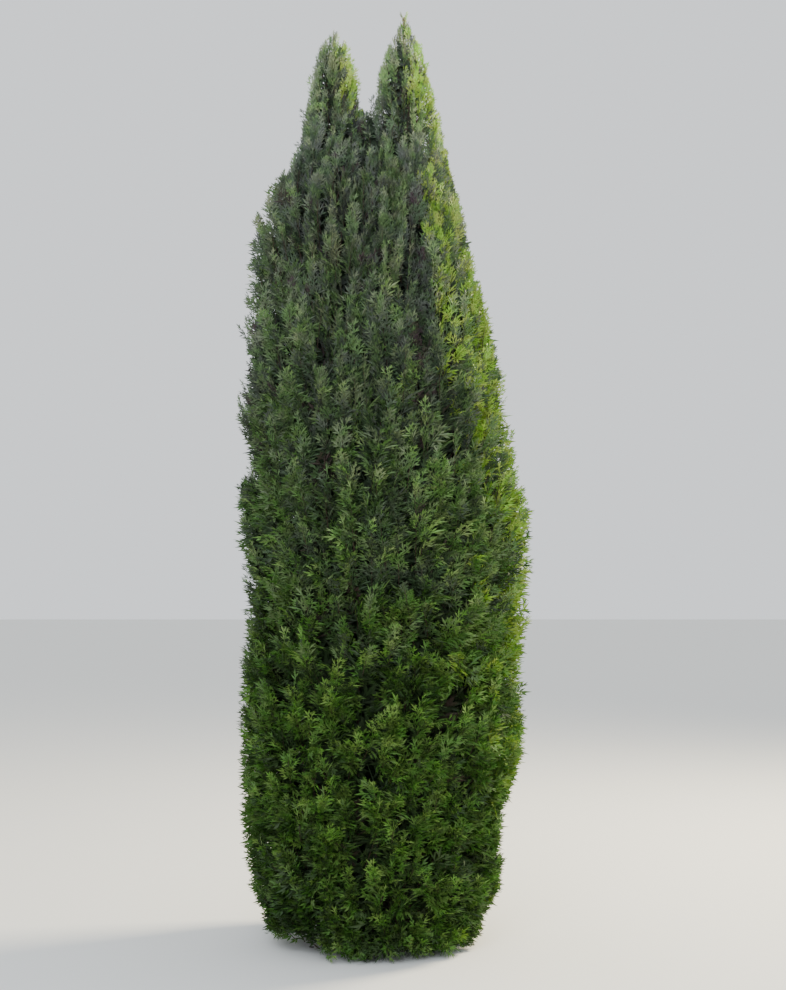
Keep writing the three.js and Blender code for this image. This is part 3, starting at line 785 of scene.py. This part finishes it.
def growTop(space, rule, dice):
    # shoots from the leader that bend out to the surface and up, with fans all along
    start, end = space["edges"](0)
    outward = Vector((math.cos((start + end) / 2), math.sin((start + end) / 2), 0))
    aside = outward * rule["coreOut"]
    core = [Vector((space["axis"], 0, height)) + aside for height in rule["coreHeights"]]
    growInner(core, outward, "top", dice)
    for i in range(rule["forks"]):
        for j in range(rule["plumes"]):
            across = (i + 0.5 + jitter(dice, rule["spread"])) / rule["forks"] * 2 - 1
            level = j + 0.5 + jitter(dice, rule["spread"]) + growth["stagger"] * (i % 2)
            level = -1 + level / (rule["plumes"] + growth["stagger"]) * 2
            tip = pointInSpace(space, across, level, rule["tipDepth"] + jitter(dice, rule["tipSpread"]))
            if isBetween(tip) and tip.z < rule["gapBelow"]:
                tip = pointInSpace(space, across, level, rule["gapDepth"])
            if tip.z < rule["lowest"] or (outness(tip) < rule["outside"] and tip.z < rule["freeFrom"]):
                continue
            outward = outwardOf(tip, space["axis"])
            root = nearestLimb(Vector((space["axis"], 0, tip.z - rule["length"])))
            bend = Vector([mixed(a, b, share) for a, b, share in zip(root, tip, rule["bend"])])
            addTwig([root, bend, tip], "shoot")
            growFans(rule, [root, bend, tip], outward, dice)


def growHem(space, rule, dice):
    # shoots that lie out along the ground, so that the skirt closes at its foot
    for i in range(rule["shoots"]):
        across = (i + 0.5 + jitter(dice, rule["spread"])) / rule["shoots"] * 2 - 1
        root = pointInSpace(space, across, -1, rule["rootDepth"])
        across += jitter(dice, rule["tipAside"])
        tip = pointInSpace(space, across, -1, rule["tipDepth"] + jitter(dice, rule["tipSpread"]))
        root.z = rule["rootLow"] + rule["rootRange"] * next(dice)
        tip.z = rule["tipLow"] + rule["tipRange"] * next(dice)
        if tip.z < groundAt(tip):
            continue
        outward = outwardOf(tip)
        bend = mixed(root, tip, rule["bend"]) + upward * rule["bendRise"]
        addTwig([root, bend, tip], "shoot")
        growFans(rule, [root, bend, tip], outward, dice)


def growPlume(space, rule, fork, root, dice):
    # a plume stands off the crown's surface and leans to one side; it is cut short at the surface
    form = plumeForm
    outward = outwardOf(root)
    sideways = upward.cross(outward)
    slope = surfaceSlope(space, root) - math.radians(rule["stand"] + jitter(dice, form["standSpread"]))
    aim = outward * math.cos(slope) + upward * math.sin(slope) + sideways * jitter(dice, rule["spread"])
    aim.normalize()
    length = rule["length"] * (form["shortest"] + form["longer"] * next(dice))
    limit = surfaceLimit(root + aim * length * form["middle"], 1)
    limit += form["bulge"] * bulgeAt(root) - form["inset"]
    while outness(root + aim * length) > limit and length > form["least"]:
        length *= form["cut"]
    middle = root + (aim * 0.5 + outward * form["bow"]) * length
    line = [root, middle, root + (aim + upward * form["rise"]) * length]
    near = min(fork, key=lambda place: (place - root).length_squared)
    addTwig([near, *line], "plume")
    growFans(rule, line, outward, dice)


def growMass(space, index):
    dice = seeded(growth["massSeed"] + growth["nextMass"] * index)
    form = massForm
    heart = pointInSpace(space, 0, form["heart"], sum(space["depths"]) / 2)
    below = heart.z - form["seatBelow"] - form["seatStep"] * (index % 3)
    seat = nearestLimb(Vector((heart.x, heart.y, max(below, form["seatLowest"]))))
    addTwig([seat, mixed(seat, heart, 0.5) - upward * form["seatSag"], heart], "stem")
    if space["rise"] == 0:
        growTop(space, rules["top"], dice)
        return
    if space["name"].startswith("skirt"):
        growHem(space, rules["hem"], dice)
    rule = rules["low" if space["name"].startswith(("skirt", "lower")) else "high"]
    for across in form["core"]:
        core = [pointInSpace(space, across, level, form["coreDepth"]) for level in form["coreLevels"]]
        growInner(core, outwardOf(core[1]), "core", dice)
    for i in range(rule["forks"]):
        across = (i + 0.5) / rule["forks"] * 2 - 1 + jitter(dice, form["forkSpread"])
        depth = space["depths"][1] - form["forkInset"]
        fork = [pointInSpace(space, across * form["forkClose"], level, depth) for level in form["forkLevels"]]
        growInner(fork, outwardOf(fork[2]), "fork", dice)
        addTwig([heart, fork[1]], "lowFork")
        addTwig([heart, mixed(fork[1], fork[2], form["forkBend"]), fork[3], fork[4]], "fork")
        for j in range(rule["plumes"]):
            level = j + form["rootFirst"] + jitter(dice, form["rootLevel"]) + growth["stagger"] * (i % 2)
            level = clamped(-1 + level / rule["plumes"] * 2, -form["rootEnd"], form["rootEnd"])
            depth = space["depths"][1] - form["rootInset"] + jitter(dice, form["rootSpread"])
            root = pointInSpace(space, across + jitter(dice, form["rootAside"]), level, depth)
            root += Vector((root.x, root.y, 0)) * bulgeAt(root)
            if outness(root) < form["rootLimit"]:
                growPlume(space, rule, fork, root, dice)


def growLeader(top, seed):
    # short fans straight from the leader, closing the top to a point
    dice = seeded(seed)
    form = leaderForm
    places, length = evenPoints(limbs[top["limb"]]["path"], form["steps"] + 1)
    reach = form["steps"] * form["length"] / length
    lean = form["lean"] + form["leanBlunt"] * top["blunt"]
    for k in range(form["count"]):
        share = (k + 0.5) / form["count"]
        place = places[int(form["steps"] - reach * (1 - share) ** form["crowding"])]
        angle = k * form["turn"] + next(dice)
        outward = Vector((math.cos(angle), math.sin(angle), 0))
        aim = (upward + outward * lean * (1 - form["leanLoss"] * share)).normalized()
        facing = outward + upward.cross(outward) * jitter(dice, 1)
        size = form["size"] * (form["sizeStart"] - form["sizeLoss"] * share)
        limit = form["limit" if share < form["tipFrom"] else "tipLimit"]
        fan = addFan(place, aim, facing, size, "slender", limit, form["least"])
        if fan:
            # painted sunlight on the sunny side of the top
            gold = sunOn(outward) > form["sunlitFrom"]
            fan["tone"] = "gold" if gold else "fresh" if next(dice) < form["freshAndLitShare"] else "moss"
            fan["storey"] = "top"


def growSaddle(seed):
    # shaded sprays that close the crown between the two tops
    dice = seeded(seed)
    form = saddleForm
    for k in range(form["count"]):
        x = mixed(*form["x"], next(dice))
        place = Vector((x, jitter(dice, form["y"]), mixed(*form["z"], (k + 0.5) / form["count"])))
        lean = Vector((jitter(dice, form["lean"]), jitter(dice, form["lean"]), 0))
        facing = Vector((jitter(dice, form["faceAside"]), 1, jitter(dice, form["faceUp"])))
        aim = (upward + lean).normalized()
        addInner(place, aim, facing, form["size"], form["least"], form, "shoulder", dice)


spaces = crownSpaces()
for index, space in enumerate(spaces):
    growMass(space, index)
growSaddle(growth["saddleSeed"])
for number, top in enumerate(crown["tops"]):
    growLeader(top, growth["leaderSeed"] + number)
print("grown", len(seats), "fans and", len(twigLines["edges"]), "lengths of twig")


def branchletMesh(shape):
    # each finger is a narrow kite of two triangles, raised a little along its middle
    points, faces = [], []
    for start, turn, length, half in branchlet["fingers"]:
        aim = Vector((-math.sin(math.radians(turn)), math.cos(math.radians(turn)), 0))
        across = Vector((aim.y, -aim.x, 0))
        root = Vector((0, start, 0))
        wide = root + aim * length * branchlet["widest"]
        first = len(points)
        ridge = Vector((0, 0, branchlet["ridge"] * length))
        side = across * half * shape["broad"]
        points += [root, wide + side, root + aim * length + ridge, wide - side]
        faces += [(first, first + 1, first + 2), (first, first + 2, first + 3)]
    return meshFrom("branchlet", points, faces)


def newTree(name, inputs):
    tree = bpy.data.node_groups.new(name, "GeometryNodeTree")
    tree.interface.new_socket("Geometry", in_out="INPUT", socket_type="NodeSocketGeometry")
    tree.interface.new_socket("Geometry", in_out="OUTPUT", socket_type="NodeSocketGeometry")
    for label, (kind, value) in inputs.items():
        socket = tree.interface.new_socket(label, in_out="INPUT", socket_type="NodeSocket" + kind)
        if value is not None:
            socket.default_value = value
    return tree, tree.nodes.new("NodeGroupInput").outputs, tree.nodes.new("NodeGroupOutput")


def finishTree(tree, shape, finish, end):
    # every tree ends as plain faces with their finish
    made = addNode(tree, "GeometryNodeRealizeInstances", {0: shape})
    finished = addNode(tree, "GeometryNodeSetMaterial", {"Geometry": made, "Material": finish})
    tree.links.new(finished.outputs[0], end.inputs[0])
    return tree


def fanTree():
    tree, given, end = newTree("fanTree", {
        "Branchlets": ("Int", 7), "Branchlet length": ("Float", 0.42), "Wide angle": ("Float", 0.9),
        "Narrow angle": ("Float", 0.35), "Curl": ("Float", 0.2), "Cup": ("Float", 0.3), "Seed": ("Int", 1),
        "Finish": ("Material", None),
    })
    known = {socket.name: socket for socket in given}
    for label, (low, high, number) in fanBuild["chances"].items():
        seed = addNode(tree, "ShaderNodeMath", {"operation": "ADD", 0: given["Seed"], 1: number})
        chance = {"data_type": "FLOAT", 2: low, 3: high, "Seed": seed}
        known[label] = addNode(tree, "FunctionNodeRandomValue", chance).outputs[1]
    known["index"] = addNode(tree, "GeometryNodeInputIndex")
    place = addNode(tree, "GeometryNodeInputPosition")
    split = addNode(tree, "ShaderNodeSeparateXYZ", {0: place}).outputs
    known.update({"x": split["X"], "y": split["Y"]})
    known["share"] = addNode(tree, "ShaderNodeMath", {
        "operation": "DIVIDE", 0: known["index"], 1: given["Branchlets"]})
    spread = {0: known["share"], 3: given["Wide angle"], 4: given["Narrow angle"]}
    known["angle"] = addNode(tree, "ShaderNodeMapRange", spread)
    sums = [  # a name, an operation, and numbers or what is known by then
        ("step", "DIVIDE", fanBuild["span"], "Branchlets"),
        ("odd", "MODULO", "index", 2),
        ("side", "MULTIPLY_ADD", "odd", 2, -1),
        ("last", "SUBTRACT", "Branchlets", 1.5),
        ("turns", "LESS_THAN", "index", "last"),  # the last branchlet leads the fan straight on
        ("aside", "MULTIPLY", "side", "angle"),
        ("swung", "MULTIPLY", "aside", "turns"),
        ("swung", "ADD", "swung", "swing"),
        ("swell", "MULTIPLY", "share", fanBuild["swell"]),
        ("swell", "ADD", "swell", fanBuild["swellFrom"]),
        ("swell", "SINE", "swell"),  # the fan is widest a little over half way up
        ("size", "MULTIPLY", "swell", "Branchlet length"),
        ("size", "MULTIPLY", "size", "scale"),
        ("bend", "MULTIPLY", "y", "y"),
        ("bend", "MULTIPLY", "bend", "Curl"),
        ("dish", "MULTIPLY", "x", "x"),
        ("dish", "MULTIPLY", "dish", "Cup"),
        ("back", "MULTIPLY", "bend", -fanBuild["shrink"]),
        ("lift", "ADD", "bend", "dish"),
    ]
    for label, operation, *values in sums:
        values = [known[value] if isinstance(value, str) else value for value in values]
        known[label] = addNode(tree, "ShaderNodeMath", {"operation": operation, **dict(enumerate(values))})
    offset = addNode(tree, "ShaderNodeCombineXYZ", {"Y": known["step"]})
    rank = addNode(tree, "GeometryNodeMeshLine", {
        "Count": given["Branchlets"], "Start Location": (0, fanBuild["first"], 0), "Offset": offset})
    euler = addNode(tree, "ShaderNodeCombineXYZ", {
        "X": known["tilt"], "Y": known["roll"], "Z": known["swung"]})
    turn = addNode(tree, "FunctionNodeEulerToRotation", {0: euler})
    blades = addNode(tree, "GeometryNodeInstanceOnPoints", {
        "Points": rank, "Instance": given["Geometry"], "Rotation": turn, "Scale": known["size"]})
    whole = addNode(tree, "GeometryNodeRealizeInstances", {0: blades})
    # the rib is a narrow strip up the middle
    half = fanBuild["ribHalf"]
    rib = addNode(tree, "GeometryNodeCurvePrimitiveLine", {"End": (0, fanBuild["span"], 0)})
    parts = addNode(tree, "GeometryNodeResampleCurve", {"Curve": rib, "Count": 3})
    strip = addNode(tree, "GeometryNodeCurvePrimitiveLine", {"Start": (-half, 0, 0), "End": (half, 0, 0)})
    ribMesh = addNode(tree, "GeometryNodeCurveToMesh", {"Curve": parts, "Profile Curve": strip})
    joined = addNode(tree, "GeometryNodeJoinGeometry", {0: whole})
    tree.links.new(ribMesh.outputs[0], joined.inputs[0])
    # curl along the fan and cup across it
    shift = addNode(tree, "ShaderNodeCombineXYZ", {"Y": known["back"], "Z": known["lift"]})
    bent = addNode(tree, "GeometryNodeSetPosition", {"Geometry": joined, "Offset": shift})
    return finishTree(tree, bent, given["Finish"], end)


def runTree(piece, tree, values):
    # the inputs are set before the first evaluation, and the result becomes a plain mesh
    modifier = piece.modifiers.new(tree.name, "NODES")
    modifier.node_group = tree
    for socket in tree.interface.items_tree:
        if socket.in_out == "INPUT" and socket.name in values:
            modifier[socket.identifier] = values[socket.name]
    piece.update_tag()
    bpy.context.view_layer.update()
    ready = piece.evaluated_get(bpy.context.evaluated_depsgraph_get())
    piece.data = bpy.data.meshes.new_from_object(ready)
    piece.data.name = piece.name
    piece.modifiers.remove(modifier)


# Scale-leaved sprays of a living arborvitae: waxy but fine-grained, so they catch a soft, broad gleam.
sprayFinish = {  # low and high are the colours at the foot and at the top of the tree
    # apart from dead, old browned sprays, the tones are one green in painted shade and light: the two darkest
    # painted shade, the middle one half shade, the next fresh tips and lit sprays, the yellowest painted
    # sunlight
    "inner": {"low": "#203216", "high": "#353f33", "roughness": 0.7},
    "deep": {"low": "#273e18", "high": "#4b5748", "roughness": 0.62},
    "moss": {"low": "#406123", "high": "#5b6c4e", "roughness": 0.55},
    "fresh": {"low": "#587c30", "high": "#72845a", "roughness": 0.52},
    "gold": {"low": "#779832", "high": "#89a645", "roughness": 0.5},
    "dead": {"low": "#30291e", "high": "#403837", "roughness": 0.8},
}
# scale leaves are 3 mm long, drawn 12 mm long so that they show
sprayGrain = {
    "scale": 85.0, "detail": 2.0, "from": 0.38, "to": 0.62, "least": 0.8, "most": 1.06,
    "bump": 0.35, "bumpDepth": 0.003, "gleam": 0.4,
}
# some sprays are a fuller green and some a browner one, by patches of about 60 mm
sprayPatch = {
    "scale": 16.0, "detail": 1.0, "from": 0.4, "to": 0.6, "least": 0, "most": 1,
    "fuller": (0.84, 1.01, 0.72), "browner": (1.17, 0.98, 1.2),
}


def sprayMaterial(tone, finish, group, place):
    name = "scaleLeaf" + tone.capitalize() + group.capitalize()
    material, tree, shader = newMaterial(name, finish["roughness"])
    shader.inputs["Specular IOR Level"].default_value = sprayGrain["gleam"]
    spot = addNode(tree, "ShaderNodeTexCoord").outputs["Object"]
    low, high = toLinear(finish["low"]), toLinear(finish["high"])
    # painted light: each storey's colours are made lighter or darker
    colour = [mixed(a, b, place["climb"]) * place["light"] for a, b in zip(low[:3], high)]
    fuller, browner = ([c * tint for c, tint in zip(colour, sprayPatch[end])] + [1]
                       for end in ("fuller", "browner"))
    patterns, shares = [], []
    for look in (sprayGrain, sprayPatch):
        pattern = addNode(tree, "ShaderNodeTexNoise", {
            "Vector": spot, "Scale": look["scale"], "Detail": look["detail"]})
        patterns.append(pattern)
        ends = {0: pattern, 1: look["from"], 2: look["to"], 3: look["least"], 4: look["most"]}
        shares.append(addNode(tree, "ShaderNodeMapRange", ends))
    blend = addNode(tree, "ShaderNodeMix", {"data_type": "RGBA", 0: shares[1], 6: fuller, 7: browner})
    leaf = addNode(tree, "ShaderNodeHueSaturation", {"Color": blend.outputs[2], "Value": shares[0]})
    bump = addNode(tree, "ShaderNodeBump", {
        "Height": patterns[0], "Strength": sprayGrain["bump"], "Distance": sprayGrain["bumpDepth"]})
    tree.links.new(leaf.outputs[0], shader.inputs["Base Color"])
    tree.links.new(bump.outputs["Normal"], shader.inputs["Normal"])
    return material


makeFan = fanTree()
fans = []
for kind, shape in fanKinds.items():
    fan = newObject("fan_" + kind, branchletMesh(shape))
    runTree(fan, makeFan, shape)
    fan.data.materials.clear()  # it has no finish of its own
    fans.append(fan)
    print("fan", kind, "has", triangleCount(fan.data), "triangles")


def crownTree():
    inputs = {f"Fan {number}": ("Object", None) for number in range(len(fans))}
    inputs.update({"Lowest": ("Float", ground["tip"]), "Finish": ("Material", None)})
    tree, given, end = newTree("crownTree", inputs)
    choices = addNode(tree, "GeometryNodeJoinGeometry")
    for number in reversed(range(len(fans))):
        choice = addNode(tree, "GeometryNodeObjectInfo", {
            "Object": given[f"Fan {number}"], "As Instance": True})
        tree.links.new(choice.outputs["Geometry"], choices.inputs[0])
    read = {}
    for label, kind in (("kind", "INT"), ("size", "FLOAT"), ("turn", "FLOAT_VECTOR")):
        source = {"data_type": kind, "Name": label}
        read[label] = addNode(tree, "GeometryNodeInputNamedAttribute", source)
    turned = addNode(tree, "FunctionNodeEulerToRotation", {0: read["turn"]})
    planted = addNode(tree, "GeometryNodeInstanceOnPoints", {
        "Points": given["Geometry"], "Instance": choices, "Pick Instance": True,
        "Instance Index": read["kind"], "Rotation": turned, "Scale": read["size"]})
    made = addNode(tree, "GeometryNodeRealizeInstances", {0: planted})
    # a tip that reaches the ground lies on it
    place = addNode(tree, "GeometryNodeInputPosition")
    split = addNode(tree, "ShaderNodeSeparateXYZ", {0: place}).outputs
    height = addNode(tree, "ShaderNodeMath", {"operation": "MAXIMUM", 0: split["Z"], 1: given["Lowest"]})
    raised = addNode(tree, "ShaderNodeCombineXYZ", {"X": split["X"], "Y": split["Y"], "Z": height})
    laid = addNode(tree, "GeometryNodeSetPosition", {"Geometry": made, "Position": raised})
    return finishTree(tree, laid, given["Finish"], end)


def seatMesh(chosen):
    mesh = meshFrom("seats", [seat["place"] for seat in chosen], [])
    turns = [Matrix(seat["frame"]).transposed().to_euler("XYZ") for seat in chosen]
    sizes = [seat["size"] for seat in chosen]
    kinds = [kindNames.index(seat["kind"]) for seat in chosen]
    columns = (("turn", "FLOAT_VECTOR", "vector", np.array(turns, dtype=np.float32).ravel()),
               ("size", "FLOAT", "value", np.array(sizes, dtype=np.float32)),
               ("kind", "INT", "value", np.array(kinds, dtype=np.int32)))
    for label, kind, field, values in columns:
        mesh.attributes.new(label, kind, "POINT").data.foreach_set(field, values)
    return mesh


plantCrown = crownTree()
fanValues = {f"Fan {number}": fan for number, fan in enumerate(fans)}
total = 0
for group, place in storeyGroups.items():
    nodes = [space["name"] for space in spaces if space["name"].split("_")[0] in place["masses"]]
    for tone, finish in sprayFinish.items():
        chosen = [seat for seat in seats if seat["storey"] == group and seat["tone"] == tone]
        piece = newObject(f"sprays_{group}_{tone}", seatMesh(chosen))
        look = sprayMaterial(tone, finish, group, place)
        runTree(piece, plantCrown, dict(fanValues, Finish=look))
        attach(piece, "root")
        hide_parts(*nodes)
        faces = triangleCount(piece.data)
        total += faces
        print(piece.name, len(chosen), "fans", faces, "triangles")
for fan in fans:
    bpy.data.objects.remove(fan)
print("sprays in all", total)

# Twigs: thin tubes along the lines that the growth has drawn
twigForm = {"sides": 4, "colour": "#43342a", "roughness": 0.85}


def twigTree():
    tree, given, end = newTree("twigTree", {
        "Sides": ("Int", twigForm["sides"]), "Finish": ("Material", None)})
    radius = addNode(tree, "GeometryNodeInputNamedAttribute", {"data_type": "FLOAT", "Name": "radius"})
    lines = addNode(tree, "GeometryNodeMeshToCurve", {0: given["Geometry"]})
    ring = addNode(tree, "GeometryNodeCurvePrimitiveCircle", {"Resolution": given["Sides"], "Radius": 1.0})
    tubes = addNode(tree, "GeometryNodeCurveToMesh", {
        "Curve": lines, "Profile Curve": ring, "Scale": radius, "Fill Caps": True})
    return finishTree(tree, tubes, given["Finish"], end)


# Young twigs under the sprays: smooth, thin, red-brown bark with a dull surface
def twigMaterial():
    material, _, shader = newMaterial("youngTwigBark", twigForm["roughness"])
    shader.inputs["Base Color"].default_value = toLinear(twigForm["colour"])
    return material


twigMesh = meshFrom("twigs", twigLines["points"], [], twigLines["edges"])
radii = np.array(twigLines["radii"], dtype=np.float32)
twigMesh.attributes.new("radius", "FLOAT", "POINT").data.foreach_set("value", radii)
twigs = newObject("twigs", twigMesh)
runTree(twigs, twigTree(), {"Sides": twigForm["sides"], "Finish": twigMaterial()})
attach(twigs, "root")
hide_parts(*[space["name"] for space in spaces])
print("twigs", triangleCount(twigs.data), "triangles")

# Floor and light
studio = {
    "floorHalf": 300, "floor": "#e4e4e0", "floorRoughness": 0.9, "sky": "#eef2f6", "skyStrength": 1.25,
}
half = studio["floorHalf"]
corners = [(-half, -half, 0), (half, -half, 0), (half, half, 0), (-half, half, 0)]
floor = newObject("floor", meshFrom("floor", corners, [(0, 1, 2, 3)]))
floorLook, _, floorShader = newMaterial("paleFloor", studio["floorRoughness"])
floorShader.inputs["Base Color"].default_value = toLinear(studio["floor"])
floor.data.materials.append(floorLook)

world = bpy.data.worlds.new("studio")
bpy.context.scene.world = world
world.use_nodes = True
world.node_tree.nodes["Background"].inputs["Color"].default_value = toLinear(studio["sky"])
world.node_tree.nodes["Background"].inputs["Strength"].default_value = studio["skyStrength"]

lamps = {
    "key": {"place": (6.5, 3.2, 7.5), "aim": (0, 0, 2.2), "size": 2.5, "power": 2200, "colour": "#fff0cc"},
    "fill": {"place": (-1.5, -8.6, 6.0), "aim": (0, 0, 2.6), "size": 5.0, "power": 600, "colour": "#eaf2ff"},
}
for lampName, lamp in lamps.items():
    data = bpy.data.lights.new(lampName, "AREA")
    data.size = lamp["size"]
    data.energy = lamp["power"]
    data.color = toLinear(lamp["colour"])[:3]
    light = newObject(lampName, data)
    light.location = lamp["place"]
    light.rotation_euler = (Vector(lamp["aim"]) - light.location).to_track_quat("-Z", "Y").to_euler()
print("lit")
